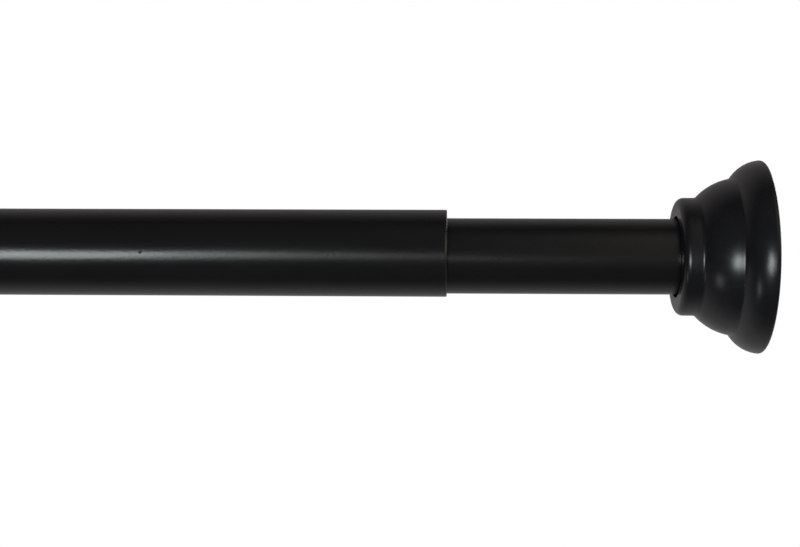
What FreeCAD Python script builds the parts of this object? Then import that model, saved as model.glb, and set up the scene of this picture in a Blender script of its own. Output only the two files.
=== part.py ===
"""Twist-lock spring tension rod, one inch size, for a curtain between two walls.

The origin is the middle of the left wall pad's face, +X runs along the rod to the right wall and +Z is
up. The larger tube and the left end stand on that axis. The smaller tube, with all that it carries,
lies a little lower, because it rests in the bottom of the larger tube's bore.
"""
import FreeCAD, Part
import math
import os
import re

import Sketcher

doc = FreeCAD.newDocument("spring_tension_rod")

# Driving dimensions in millimetres, and a few counts: name, size, what it measures.
SIZES = (
    ("outer_dia", 25.4, "outside of the larger tube"),
    ("outer_wall", 0.65, "wall of the larger tube"),
    ("outer_length", 543.7, "length of the larger tube"),
    ("inner_dia", 22.0, "outside of the smaller tube"),
    ("inner_wall", 0.6, "wall of the smaller tube"),
    ("inner_length", 465.0, "length of the smaller tube"),
    ("shown_length", 66.3, "smaller tube between the larger tube's mouth and the right cap"),
    ("inner_drop", 0.75, "how much lower the smaller tube's axis lies"),
    ("running_gap", 0.1, "play between sliding round faces, on the radius"),
    ("press_gap", 0.03, "play between pressed round faces, on the radius"),
    ("collar_dia", 34.2, "collar at the front of an end cap"),
    ("collar_length", 5.8, "length of the collar"),
    ("collar_round", 2.1, "round of the collar's front edge"),
    ("dome_dia", 45.6, "end of the first dome"),
    ("dome_length", 10.2, "length of the first dome"),
    ("dome_radius", 15.0, "bulge of the first dome"),
    ("rim_dia", 56.1, "cap at its back"),
    ("rim_length", 8.4, "length of the rim dome"),
    ("rim_radius", 9.3, "bulge of the rim dome"),
    ("rim_round", 0.9, "round of the rim's back edge"),
    ("step_round", 0.7, "soft corner where two steps of the cap meet"),
    ("socket_gap", 0.85, "gap all round a tube in its cap"),
    ("socket_round", 0.4, "round of the socket's mouth"),
    ("socket_wall", 2.2, "wall of the socket"),
    ("seat_depth", 13.0, "length of tube inside a cap"),
    ("web_thick", 2.5, "web across the end of the socket"),
    ("hollow_start", 10.0, "front of the hollow behind the dome, from the collar's face"),
    ("hollow_step", 0.9, "how much wider the hollow's front is than the collar"),
    ("rib_thick", 1.6, "ribs in the hollow"),
    ("rib_count", 6, "number of those ribs"),
    ("rib_bite", 0.4, "how far a rib runs into the walls that it joins"),
    ("rib_step", 1.0, "rise of a rib's inner end over the socket"),
    ("pad_dia", 50.0, "rubber wall pad"),
    ("pad_gap", 0.15, "play round the pad, on the radius"),
    ("pad_recess", 3.0, "depth of the pad's seat in the cap"),
    ("pad_proud", 0.6, "how far the pad stands out of the cap"),
    ("pad_round", 0.7, "round of the pad's edge"),
    ("pad_ledge", 2.6, "ledge of the cap that the pad rests on"),
    ("ring_start", 12.0, "inside diameter of the first grip ring"),
    ("ring_pitch", 4.6, "spacing of the grip rings, on the radius"),
    ("ring_width", 1.6, "width of a grip ring"),
    ("ring_depth", 0.8, "depth of a grip ring"),
    ("ring_arc", 76.0, "degrees that one stretch of a grip ring spans"),
    ("ring_stretches", 4, "stretches in one grip ring"),
    ("plug_flange", 2.0, "flange of a tube plug"),
    ("plug_length", 18.0, "plug inside its tube, flange included"),
    ("plug_wall", 1.6, "shell and floor of a plug"),
    ("plug_boss_dia", 8.0, "screw boss in a plug"),
    ("plug_rib_thick", 1.4, "ribs between boss and shell"),
    ("plug_rib_count", 4, "number of those ribs"),
    ("screw_dia", 3.5, "cap screw, over its thread"),
    ("screw_length", 15.0, "cap screw under its head"),
    ("screw_head_dia", 7.0, "cap screw's pan head"),
    ("screw_head", 2.3, "height of the pan head"),
    ("screw_head_edge", 1.5, "height of the pan head's straight edge"),
    ("screw_head_top", 4.8, "diameter of the pan head's flat top"),
    ("screw_tip", 2.0, "cap screw's point"),
    ("screw_slot", 1.0, "width of the cross recess"),
    ("screw_slot_span", 4.0, "span of the cross recess"),
    ("screw_slot_depth", 1.3, "depth of the cross recess"),
    ("screw_gap", 0.05, "play between a screw and its tapped hole, on the radius"),
    ("web_hole_gap", 0.4, "play between the cap screw and the web, on the radius"),
    ("cap_washer_dia", 9.5, "washer under the cap screw"),
    ("cap_washer_thick", 0.8, "its thickness"),
    ("washer_gap", 0.2, "play of a washer on its shank, on the radius"),
    ("bush_length", 16.0, "guide bush inside the smaller tube"),
    ("bush_flange", 3.0, "guide bush's flange, outside the tube"),
    ("bush_round", 0.8, "round of the flange's front edge"),
    ("hex_flats", 9.0, "spindle's hexagonal stem, across flats"),
    ("hex_gap", 0.15, "play of the stem in the bush, across each flat"),
    ("plunge_stroke", 25.0, "travel of the spring"),
    ("plunge_margin", 2.0, "stem left between bush and thrust washer at full travel"),
    ("head_length", 4.0, "spindle's spring head"),
    ("head_gap", 0.25, "play of the head in the smaller tube, on the radius"),
    ("spigot_length", 7.0, "spigots that centre the spring"),
    ("spigot_gap", 0.4, "play between spigot and spring, on the radius"),
    ("spigot_lead", 1.2, "lead chamfer of a spigot"),
    ("shank_dia", 8.0, "spindle's shank, over its thread"),
    ("spring_dia", 16.0, "spring, through the middle of its wire"),
    ("spring_length", 76.0, "spring as fitted, with the rod relaxed"),
    ("spring_turns", 8.0, "turns of the spring"),
    ("wire_dia", 1.6, "spring wire"),
    ("stop_length", 14.0, "spring stop, without its spigot"),
    ("stop_hollow_dia", 12.0, "hollow in the back of the spring stop"),
    ("stop_hollow", 7.0, "depth of that hollow"),
    ("bead_depth", 0.8, "rolled groove that holds the spring stop"),
    ("bead_width", 3.0, "bottom of the rolled groove"),
    ("bead_slope", 1.2, "run of each of its sides"),
    ("thrust_dia", 18.0, "thrust washer behind the lock sleeve"),
    ("thrust_thick", 1.2, "its thickness"),
    ("sleeve_length", 27.0, "lock sleeve"),
    ("sleeve_web", 4.0, "end wall of the lock sleeve"),
    ("sleeve_lead", 0.8, "chamfers of the lock sleeve"),
    ("sleeve_mouth_dia", 18.4, "sleeve's taper at its mouth"),
    ("sleeve_throat_dia", 12.8, "sleeve's taper at its end wall"),
    ("slot_width", 2.8, "slots between the sleeve's fingers"),
    ("slot_length", 20.0, "length of those slots"),
    ("slot_count", 4, "number of those slots"),
    ("grip_start", 4.0, "first grip groove, from the sleeve's mouth"),
    ("grip_pitch", 3.2, "spacing of the grip grooves"),
    ("grip_width", 1.2, "width of a grip groove"),
    ("grip_depth", 0.35, "depth of a grip groove"),
    ("lock_draw", 3.0, "travel of the lock cone in one turn, which is the thread's pitch"),
    ("lock_gap", 0.08, "play of the drawn cone in the sleeve, on the radius"),
    ("cone_length", 15.0, "lock cone"),
    ("key_length", 8.0, "keys of the cone that slide in the sleeve's slots"),
    ("key_gap", 0.2, "play of a key in its slot, on each side"),
    ("key_set_back", 0.5, "how far a key's top lies inside the sleeve's outside"),
    ("thread_gap", 0.1, "play between shank and cone, on the radius"),
    ("stop_gap", 0.3, "play between the relaxed cone and the stop washer"),
    ("stop_washer_dia", 12.0, "washer on the end of the shank"),
    ("stop_washer_thick", 1.0, "its thickness"),
    ("stop_screw_length", 10.0, "stop screw under its head"),
)

sheet = doc.addObject("Spreadsheet::Sheet", "Sizes")
for row, (alias, size, meaning) in enumerate(SIZES, start=1):
    sheet.set(f"A{row}", meaning)
    sheet.set(f"B{row}", str(size))
    sheet.setAlias(f"B{row}", alias)
doc.recompute()

ALIASES = {alias for alias, size, meaning in SIZES}
FULL_TURN = 360
HALF_TURN = 180
HEX_SIDE_COUNT = 6
WIRE_FLAT_COUNT = 8
GRIP_RING_COUNT = 3
GRIP_GROOVE_COUNT = 5
SAME_PLACE = 0.0001
LEFT = 1


def bound(formula):
    """A formula in the sheet's names, as an expression that any object can hold."""
    def cell(word):
        return f"Sizes.{word.group()}" if word.group() in ALIASES else word.group()
    return re.sub(r"[a-z_]+", cell, formula)


def measure(formula):
    """The formula's present value."""
    return float(sheet.evalExpression(bound(formula)))


def arc_between(start, end, radius, turn):
    """The shorter arc from start to end that turns left or right."""
    along = end - start
    rise = math.sqrt(radius ** 2 - (along.Length / 2) ** 2)
    across = FreeCAD.Vector(-along.y, along.x, 0).normalize()
    centre = (start + end) * 0.5 + across * (rise * turn)
    first, last = (start, end) if turn == LEFT else (end, start)
    angles = [math.atan2(point.y - centre.y, point.x - centre.x) for point in (first, last)]
    return Part.ArcOfCircle(Part.Circle(centre, FreeCAD.Vector(0, 0, 1), radius), *angles)


def pin(sketch, kind, name, geometry, end, formula):
    """Holds one coordinate of a point at a formula, or on the axis where that is zero."""
    size = measure(formula)
    if size == 0:
        axis = -1 if kind == "DistanceY" else -2
        sketch.addConstraint(Sketcher.Constraint("PointOnObject", geometry, end, axis))
        return
    sketch.addConstraint(Sketcher.Constraint(kind, -1, 1, geometry, end, size))
    sketch.renameConstraint(sketch.ConstraintCount - 1, name)
    sketch.setExpression(f"Constraints.{name}", bound(formula))


def empty_sketch(body, role):
    """A sketch on one of the body's own planes."""
    sketch = body.newObject("Sketcher::SketchObject", "Sketch")
    plane = next(item for item in body.Origin.OriginFeatures if item.Role == role)
    sketch.AttachmentSupport = (plane, "")
    sketch.MapMode = "FlatFace"
    return sketch


def outline(body, role, *loops):
    """A sketch of closed loops. A corner is (across, up), or (across, up, radius, turn) after an arc."""
    sketch = empty_sketch(body, role)
    for loop in loops:
        offset = sketch.GeometryCount
        corners = [FreeCAD.Vector(measure(corner[0]), measure(corner[1]), 0) for corner in loop]
        ends = []
        for number, corner in enumerate(loop):
            start, end = corners[number - 1], corners[number]
            if len(corner) == 2:
                sketch.addGeometry(Part.LineSegment(start, end), False)
                ends.append((1, 2))
            else:
                sketch.addGeometry(arc_between(start, end, measure(corner[2]), corner[3]), False)
                ends.append((1, 2) if corner[3] == LEFT else (2, 1))
        for number, corner in enumerate(loop):
            run = offset + number
            after = (number + 1) % len(loop)
            finish = ends[number][1]
            sketch.addConstraint(
                Sketcher.Constraint("Coincident", run, finish, offset + after, ends[after][0]))
            pin(sketch, "DistanceX", f"across_{run}", run, finish, corner[0])
            pin(sketch, "DistanceY", f"up_{run}", run, finish, corner[1])
            if len(corner) > 2:
                sketch.addConstraint(Sketcher.Constraint("Radius", run, measure(corner[2])))
                sketch.renameConstraint(sketch.ConstraintCount - 1, f"radius_{run}")
                sketch.setExpression(f"Constraints.radius_{run}", bound(corner[2]))
    return sketch


def place(body, along, low=False, turned=False):
    """Sets a body at its place along the rod, on the lower axis or facing the other way if asked."""
    if turned:
        body.Placement = FreeCAD.Placement(
            FreeCAD.Vector(), FreeCAD.Rotation(FreeCAD.Vector(0, 0, 1), HALF_TURN))
    body.setExpression("Placement.Base.x", bound(along))
    if low:
        body.setExpression("Placement.Base.z", bound("-inner_drop"))


def turning(label, *section):
    """A body turned about its own X axis from a half section of (along, radius) corners."""
    body = doc.addObject("PartDesign::Body", label)
    sketch = outline(body, "XZ_Plane", section)
    feature = body.newObject("PartDesign::Revolution", "Turning")
    feature.Profile = sketch
    feature.ReferenceAxis = (sketch, ["H_Axis"])
    feature.Angle = FULL_TURN
    doc.recompute()
    return body


def padded(body, role, loop, length, both_ways=False):
    """Adds an outline drawn out along its plane's normal, to one side or evenly to both."""
    sketch = outline(body, role, loop)
    feature = body.newObject("PartDesign::Pad", "Pad")
    feature.Profile = sketch
    feature.setExpression("Length", bound(length))
    feature.SideType = "Symmetric" if both_ways else "One side"
    doc.recompute()
    return feature


def pocketed(body, role, loops, length, both_ways=False):
    """Cuts an outline into a body, to one side of its plane or evenly to both."""
    sketch = outline(body, role, *loops)
    feature = body.newObject("PartDesign::Pocket", "Pocket")
    feature.Profile = sketch
    feature.setExpression("Length", bound(length))
    feature.SideType = "Symmetric" if both_ways else "One side"
    doc.recompute()
    return feature


def repeated_round(body, feature, count):
    """Repeats a feature evenly about the body's X axis."""
    pattern = body.newObject("PartDesign::PolarPattern", "Repeat")
    pattern.Originals = [feature]
    axis = next(item for item in body.Origin.OriginFeatures if item.Role == "X_Axis")
    pattern.Axis = (axis, [""])
    pattern.Angle = FULL_TURN
    pattern.setExpression("Occurrences", bound(count))
    body.Tip = pattern
    doc.recompute()


def rounded(body, radius, *circles):
    """Rounds the edges that lie on the given circles of (along, radius)."""
    base = body.Tip
    names = []
    for number, edge in enumerate(base.Shape.Edges, start=1):
        if not isinstance(edge.Curve, Part.Circle):
            continue
        for along, edge_radius in circles:
            off_place = abs(edge.Curve.Center.x - measure(along))
            off_size = abs(edge.Curve.Radius - measure(edge_radius))
            if max(off_place, off_size) < SAME_PLACE:
                names.append(f"Edge{number}")
    feature = body.newObject("PartDesign::Fillet", "Rounding")
    feature.Base = (base, names)
    feature.setExpression("Radius", bound(radius))
    doc.recompute()


def polygon(sides, radius, across="0", up="0"):
    """Corners of a regular polygon about a point, from the radius through its corners."""
    step = FULL_TURN / sides
    return [(f"{across} + {radius} * cos({step * side})", f"{up} + {radius} * sin({step * side})")
            for side in range(sides)]


def hexagon(flats):
    """Corners of a hexagon about the axis, from its size across flats."""
    return polygon(HEX_SIDE_COUNT, f"({flats}) / sqrt(3)")


# Places along the rod, and radii that several pieces share
OUTER_BORE = "(outer_dia / 2 - outer_wall)"
INNER_BORE = "(inner_dia / 2 - inner_wall)"
LOW_RADIUS = f"({OUTER_BORE} - inner_drop - running_gap)"
CAP_LENGTH = "(collar_length + dome_length + rim_length)"
WEB_BACK = "(seat_depth + plug_flange + web_thick)"
PAD_SEAT = f"({CAP_LENGTH} - pad_recess)"
LEFT_FACE = f"(pad_proud + {CAP_LENGTH})"
OUTER_START = f"({LEFT_FACE} - seat_depth)"
MOUTH = f"({OUTER_START} + outer_length)"
RIGHT_FACE = f"({MOUTH} + shown_length)"
INNER_END = f"({RIGHT_FACE} + seat_depth)"
INNER_START = f"({INNER_END} - inner_length)"
SHOULDER = f"({INNER_START} - bush_flange - plunge_stroke - plunge_margin)"
SPRING_START = f"({INNER_START} + bush_length + head_length)"
SPRING_END = f"({SPRING_START} + spring_length)"
SLEEVE_START = f"({SHOULDER} - thrust_thick - sleeve_length)"
CONE_START = f"({SLEEVE_START} - lock_draw)"
SHANK_START = f"({CONE_START} - stop_gap)"


def outer_tube():
    """Welded steel tube with a square left end and a mouth rounded over its whole wall."""
    middle = "(outer_dia / 2 - outer_wall / 2)"
    lip = "(outer_length - outer_wall / 2)"
    body = turning(
        "outer_tube",
        ("0", OUTER_BORE),
        (lip, OUTER_BORE),
        ("outer_length", middle, "outer_wall / 2", LEFT),
        (lip, "outer_dia / 2", "outer_wall / 2", LEFT),
        ("0", "outer_dia / 2"))
    place(body, OUTER_START)


def inner_tube():
    """Welded steel tube with a rolled groove that grips the spring stop."""
    middle = "(bush_length + head_length + spring_length + stop_length / 2)"
    sides = (f"{middle} - bead_width / 2 - bead_slope", f"{middle} - bead_width / 2",
             f"{middle} + bead_width / 2", f"{middle} + bead_width / 2 + bead_slope")
    depths = ("0", "bead_depth", "bead_depth", "0")
    inside = [(side, f"{INNER_BORE} - {depth}") for side, depth in zip(sides, depths)]
    outside = [(side, f"inner_dia / 2 - {depth}") for side, depth in zip(sides, depths)]
    body = turning(
        "inner_tube",
        ("0", INNER_BORE),
        *inside,
        ("inner_length", INNER_BORE),
        ("inner_length", "inner_dia / 2"),
        *reversed(outside),
        ("0", "inner_dia / 2"))
    place(body, INNER_START, low=True)


def end_cap(side, tube_dia, along, low, turned):
    """Stepped bell moulding: collar, dome and rim, hollow behind, with a socket for the tube's end."""
    bore = f"({tube_dia} / 2 + socket_gap)"
    socket = f"({bore} + socket_wall)"
    dome_end = "(collar_length + dome_length)"
    hollow_front = "(collar_dia / 2 + hollow_step)"
    hollow_back = "(pad_dia / 2 - pad_ledge)"
    seat = "(pad_dia / 2 + pad_gap)"
    body = turning(
        f"end_cap_{side}",
        ("0", bore),
        ("seat_depth + plug_flange", bore),
        ("seat_depth + plug_flange", "screw_dia / 2 + web_hole_gap"),
        (WEB_BACK, "screw_dia / 2 + web_hole_gap"),
        (WEB_BACK, socket),
        ("hollow_start", socket),
        ("hollow_start", hollow_front),
        (PAD_SEAT, hollow_back),
        (PAD_SEAT, seat),
        (CAP_LENGTH, seat),
        (CAP_LENGTH, "rim_dia / 2"),
        (dome_end, "dome_dia / 2", "rim_radius", LEFT),
        ("collar_length", "collar_dia / 2", "dome_radius", LEFT),
        ("0", "collar_dia / 2"))
    rounded(body, "step_round", ("collar_length", "collar_dia / 2"), (dome_end, "dome_dia / 2"))
    rounded(body, "collar_round", ("0", "collar_dia / 2"))
    rounded(body, "rim_round", (CAP_LENGTH, "rim_dia / 2"))
    rounded(body, "socket_round", ("0", bore))
    rib = padded(
        body, "XZ_Plane",
        (("hollow_start - rib_bite", f"{socket} - rib_bite"),
         (WEB_BACK, f"{socket} - rib_bite"),
         (PAD_SEAT, f"{socket} + rib_step"),
         (PAD_SEAT, f"{hollow_back} + rib_bite"),
         ("hollow_start - rib_bite", f"{hollow_front} + rib_bite")),
        "rib_thick", both_ways=True)
    repeated_round(body, rib, "rib_count")
    place(body, along, low, turned)


def wall_pad(side, along, low, turned):
    """Rubber disc in the cap's back, with interrupted grip rings sunk into its wall face."""
    body = turning(
        f"wall_pad_{side}",
        ("0", "0"),
        ("pad_proud + pad_recess", "0"),
        ("pad_proud + pad_recess", "pad_dia / 2"),
        ("0", "pad_dia / 2"))
    rounded(body, "pad_round", ("0", "pad_dia / 2"))
    rings = []
    for number in range(GRIP_RING_COUNT):
        inside = f"(ring_start / 2 + ring_pitch * {number})"
        rings.append((("0", inside), ("ring_depth", inside),
                      ("ring_depth", f"{inside} + ring_width"), ("0", f"{inside} + ring_width")))
    sketch = outline(body, "XZ_Plane", *rings)
    groove = body.newObject("PartDesign::Groove", "GripRings")
    groove.Profile = sketch
    groove.ReferenceAxis = (sketch, ["H_Axis"])
    groove.setExpression("Angle", bound("ring_arc"))
    doc.recompute()
    repeated_round(body, groove, "ring_stretches")
    place(body, along, low, turned)


def tube_plug(side, tube_dia, tube_wall, along, low, turned):
    """Nylon plug pressed into a tube's end: flange, shell, and a ribbed boss for the cap's screw."""
    spigot = f"({tube_dia} / 2 - {tube_wall} - press_gap)"
    floor = "(plug_flange + plug_wall)"
    boss = "(plug_boss_dia / 2)"
    hole = "(screw_dia / 2 + screw_gap)"
    body = turning(
        f"tube_plug_{side}",
        ("0", hole),
        ("plug_length", hole),
        ("plug_length", boss),
        (floor, boss),
        (floor, f"{spigot} - plug_wall"),
        ("plug_length", f"{spigot} - plug_wall"),
        ("plug_length", spigot),
        ("plug_flange", spigot),
        ("plug_flange", f"{tube_dia} / 2 + socket_gap - running_gap"),
        ("0", f"{tube_dia} / 2 + socket_gap - running_gap"))
    rib = padded(
        body, "XZ_Plane",
        ((f"{floor} - plug_wall / 2", f"({boss} + {hole}) / 2"),
         ("plug_length - plug_wall", f"({boss} + {hole}) / 2"),
         ("plug_length - plug_wall", f"{spigot} - plug_wall / 2"),
         (f"{floor} - plug_wall / 2", f"{spigot} - plug_wall / 2")),
        "plug_rib_thick", both_ways=True)
    repeated_round(body, rib, "plug_rib_count")
    place(body, along, low, turned)


def pan_head_screw(label, length, along, low, turned):
    """Pan head screw with a cross recess, its head towards the wall."""
    body = turning(
        label,
        ("0", "0"),
        (f"screw_head + {length}", "0"),
        (f"screw_head + {length} - screw_tip", "screw_dia / 2"),
        ("screw_head", "screw_dia / 2"),
        ("screw_head", "screw_head_dia / 2"),
        ("screw_head - screw_head_edge", "screw_head_dia / 2"),
        ("0", "screw_head_top / 2"))
    half_slot = "screw_slot / 2"
    half_span = "screw_slot_span / 2"
    for across, up in ((half_slot, half_span), (half_span, half_slot)):
        corners = ((f"-{across}", f"-{up}"), (across, f"-{up}"), (across, up), (f"-{across}", up))
        pocketed(body, "YZ_Plane", [corners], "2 * screw_slot_depth", both_ways=True)
    place(body, along, low, turned)


def washer(label, hole_dia, outside_dia, thickness, along, low):
    """Flat steel washer."""
    hole = f"{hole_dia} / 2 + washer_gap"
    body = turning(
        label,
        ("0", hole),
        (thickness, hole),
        (thickness, f"{outside_dia} / 2"),
        ("0", f"{outside_dia} / 2"))
    place(body, along, low)


def guide_bush():
    """Nylon bush in the smaller tube's inner end, whose flange slides in the larger tube."""
    spigot = f"({INNER_BORE} - press_gap)"
    length = "(bush_flange + bush_length)"
    body = turning(
        "guide_bush",
        ("0", "0"),
        (length, "0"),
        (length, spigot),
        ("bush_flange", spigot),
        ("bush_flange", LOW_RADIUS),
        ("0", LOW_RADIUS))
    rounded(body, "bush_round", ("0", LOW_RADIUS))
    pocketed(body, "YZ_Plane", [hexagon("hex_flats + 2 * hex_gap")], f"4 * {length}", both_ways=True)
    place(body, f"{INNER_START} - bush_flange", low=True)


def spindle():
    """Acetal spindle: threaded shank, hexagonal stem, and a head that the spring pushes on."""
    shank_end = f"({SHOULDER} - {SHANK_START})"
    stem_end = f"({shank_end} + plunge_margin + plunge_stroke + bush_flange + bush_length)"
    head_end = f"({stem_end} + head_length)"
    spigot = "(spring_dia / 2 - wire_dia / 2 - spigot_gap)"
    hole = "(screw_dia / 2 + screw_gap)"
    body = turning(
        "spindle",
        ("stop_screw_length", "0"),
        (f"{head_end} + spigot_length", "0"),
        (f"{head_end} + spigot_length", f"{spigot} - spigot_lead"),
        (f"{head_end} + spigot_length - spigot_lead", spigot),
        (head_end, spigot),
        (head_end, f"{INNER_BORE} - head_gap"),
        (stem_end, f"{INNER_BORE} - head_gap"),
        (stem_end, "shank_dia / 2"),
        ("0", "shank_dia / 2"),
        ("0", hole),
        ("stop_screw_length", hole))
    stem = outline(body, "YZ_Plane", hexagon("hex_flats"))
    stem.setExpression("AttachmentOffset.Base.z", bound(shank_end))
    feature = body.newObject("PartDesign::Pad", "Stem")
    feature.Profile = stem
    feature.setExpression("Length", bound(f"{stem_end} - {shank_end}"))
    doc.recompute()
    place(body, SHANK_START, low=True)


def compression_spring():
    """Round steel wire, drawn with eight flats, wound between the spindle's head and the spring stop."""
    body = doc.addObject("PartDesign::Body", "compression_spring")
    wire = polygon(WIRE_FLAT_COUNT, "wire_dia / 2", "wire_dia / 2", "spring_dia / 2")
    sketch = outline(body, "XZ_Plane", wire)
    coils = body.newObject("PartDesign::AdditiveHelix", "Coils")
    coils.Profile = sketch
    coils.ReferenceAxis = (sketch, ["H_Axis"])
    coils.Mode = "height-turns-angle"
    coils.setExpression("Height", bound("spring_length - wire_dia"))
    coils.setExpression("Turns", bound("spring_turns"))
    doc.recompute()
    place(body, SPRING_START, low=True)


def spring_stop():
    """Nylon plug that the spring pushes against, held by the groove rolled into the smaller tube."""
    outside = f"({INNER_BORE} - press_gap)"
    spigot = "(spring_dia / 2 - wire_dia / 2 - spigot_gap)"
    end = "(spigot_length + stop_length)"
    middle = "(spigot_length + stop_length / 2)"
    body = turning(
        "spring_stop",
        ("0", "0"),
        (f"{end} - stop_hollow", "0"),
        (f"{end} - stop_hollow", "stop_hollow_dia / 2"),
        (end, "stop_hollow_dia / 2"),
        (end, outside),
        (f"{middle} + bead_width / 2 + bead_slope + press_gap", outside),
        (f"{middle} + bead_width / 2 + press_gap", f"{outside} - bead_depth"),
        (f"{middle} - bead_width / 2 - press_gap", f"{outside} - bead_depth"),
        (f"{middle} - bead_width / 2 - bead_slope - press_gap", outside),
        ("spigot_length", outside),
        ("spigot_length", spigot),
        ("spigot_lead", spigot),
        ("0", f"{spigot} - spigot_lead"))
    place(body, f"{SPRING_END} - spigot_length", low=True)


def lock_sleeve():
    """Nylon sleeve with spring fingers, tapered inside, that the cone spreads in the larger tube."""
    hole = "(shank_dia / 2 + washer_gap)"
    throat = "(sleeve_length - sleeve_web)"
    grips = []
    for number in range(GRIP_GROOVE_COUNT):
        start = f"(grip_start + grip_pitch * {number})"
        grips += [(start, LOW_RADIUS),
                  (f"{start} + grip_width / 2", f"{LOW_RADIUS} - grip_depth"),
                  (f"{start} + grip_width", LOW_RADIUS)]
    body = turning(
        "lock_sleeve",
        ("0", "sleeve_mouth_dia / 2"),
        (throat, "sleeve_throat_dia / 2"),
        (throat, hole),
        ("sleeve_length", hole),
        ("sleeve_length", f"{LOW_RADIUS} - sleeve_lead"),
        ("sleeve_length - sleeve_lead", LOW_RADIUS),
        *reversed(grips),
        ("sleeve_lead", LOW_RADIUS),
        ("0", f"{LOW_RADIUS} - sleeve_lead"))
    half = "slot_width / 2"
    slot = pocketed(
        body, "XY_Plane",
        [(("-slot_width", f"-{half}"), ("slot_length", f"-{half}"),
          ("slot_length", half), ("-slot_width", half))],
        "outer_dia / 2")
    repeated_round(body, slot, "slot_count")
    place(body, SLEEVE_START, low=True)


def lock_cone():
    """Acetal taper nut on the spindle's thread, kept from turning by keys in the sleeve's slots."""
    hole = "(shank_dia / 2 + thread_gap)"
    slope = "((sleeve_mouth_dia - sleeve_throat_dia) / 2 / (sleeve_length - sleeve_web))"
    wide = "(sleeve_mouth_dia / 2 - lock_gap)"
    body = turning(
        "lock_cone",
        ("0", hole),
        ("cone_length", hole),
        ("cone_length", f"{wide} - cone_length * {slope}"),
        ("0", wide))
    key_top = f"({LOW_RADIUS} - key_set_back)"
    key_root = f"({hole} + {wide} - cone_length * {slope}) / 2"
    key = padded(
        body, "XZ_Plane",
        (("0", key_root), ("key_length", key_root), ("key_length", key_top), ("0", key_top)),
        "slot_width - 2 * key_gap", both_ways=True)
    repeated_round(body, key, "slot_count")
    place(body, CONE_START, low=True)


outer_tube()
inner_tube()
for side, tube_dia, tube_wall, on_right in (
        ("left", "outer_dia", "outer_wall", False), ("right", "inner_dia", "inner_wall", True)):
    face = RIGHT_FACE if on_right else LEFT_FACE
    outward = "+" if on_right else "-"
    web_back = f"{face} {outward} {WEB_BACK}"
    end_cap(side, tube_dia, face, low=on_right, turned=not on_right)
    wall_pad(side, f"{face} {outward} {CAP_LENGTH} {outward} pad_proud", low=on_right, turned=on_right)
    tube_plug(side, tube_dia, tube_wall, f"{face} {outward} seat_depth {outward} plug_flange",
              low=on_right, turned=on_right)
    pan_head_screw(f"cap_screw_{side}", "screw_length",
                   f"{web_back} {outward} cap_washer_thick {outward} screw_head",
                   low=on_right, turned=on_right)
    washer_place = web_back if on_right else f"{web_back} - cap_washer_thick"
    washer(f"cap_washer_{side}", "screw_dia", "cap_washer_dia", "cap_washer_thick", washer_place, on_right)
guide_bush()
spindle()
compression_spring()
spring_stop()
washer("thrust_washer", "shank_dia", "thrust_dia", "thrust_thick", f"{SHOULDER} - thrust_thick", True)
lock_sleeve()
lock_cone()
washer("stop_washer", "screw_dia", "stop_washer_dia", "stop_washer_thick",
       f"{SHANK_START} - stop_washer_thick", True)
pan_head_screw("stop_screw", "stop_washer_thick + stop_screw_length - screw_tip / 2",
               f"{SHANK_START} - stop_washer_thick - screw_head", low=True, turned=False)

doc.recompute()
for item in doc.Objects:
    if "Invalid" in item.State or "Error" in item.State:
        raise RuntimeError(f"{item.Name} did not build: {item.State}")
bodies = [item for item in doc.Objects if item.TypeId == "PartDesign::Body"]
for body in bodies:
    if body.Shape.isNull() or not body.Shape.isValid() or len(body.Shape.Solids) != 1:
        raise RuntimeError(f"{body.Label} is not one valid solid")

os.makedirs("parts", exist_ok=True)
for body in bodies:
    body.Shape.exportStep(f"parts/{body.Label}.step")
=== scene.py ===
import math
from collections import namedtuple

import bmesh
import bpy
from mathutils import Matrix, Quaternion, Vector


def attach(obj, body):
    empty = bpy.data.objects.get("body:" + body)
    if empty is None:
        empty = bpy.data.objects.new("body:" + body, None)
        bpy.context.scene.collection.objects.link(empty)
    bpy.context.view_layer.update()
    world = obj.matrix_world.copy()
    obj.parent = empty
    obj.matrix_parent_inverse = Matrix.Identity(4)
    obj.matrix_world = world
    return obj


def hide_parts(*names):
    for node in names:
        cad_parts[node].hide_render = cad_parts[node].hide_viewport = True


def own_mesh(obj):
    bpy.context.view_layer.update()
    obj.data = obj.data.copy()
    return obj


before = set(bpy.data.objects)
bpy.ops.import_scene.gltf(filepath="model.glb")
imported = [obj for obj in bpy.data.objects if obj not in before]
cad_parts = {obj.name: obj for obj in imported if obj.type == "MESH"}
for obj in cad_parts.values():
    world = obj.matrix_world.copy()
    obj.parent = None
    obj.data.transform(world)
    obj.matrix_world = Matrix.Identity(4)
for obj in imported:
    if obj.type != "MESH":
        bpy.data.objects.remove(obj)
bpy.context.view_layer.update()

# Larger tube: thin welded steel tube of the one inch size, sprayed with black enamel that is then baked.
# Its left end is cut square for the cap. Its mouth is rolled over the whole wall, so that the smaller tube
# slides in freely, and the enamel is worn through to the steel there.
MM = 0.001
ROUND = 2 * math.pi
OUTER_RADIUS = 12.7
OUTER_BORE = 12.05
OUTER_START = 12.0
MOUTH = 555.7
MOUTH_ROUND = 0.31
MOUTH_BAND = 0.7  # a ring of short faces at the mouth, so that the gloss runs straight up to its round
ROUND_SEGMENTS = 6
MERGE_WITHIN = 0.002
SHARP_DEGREES = 34

Corner = namedtuple("Corner", "along radius reach bulge bulge_steps", defaults=(0.0, None, 0))


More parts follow.
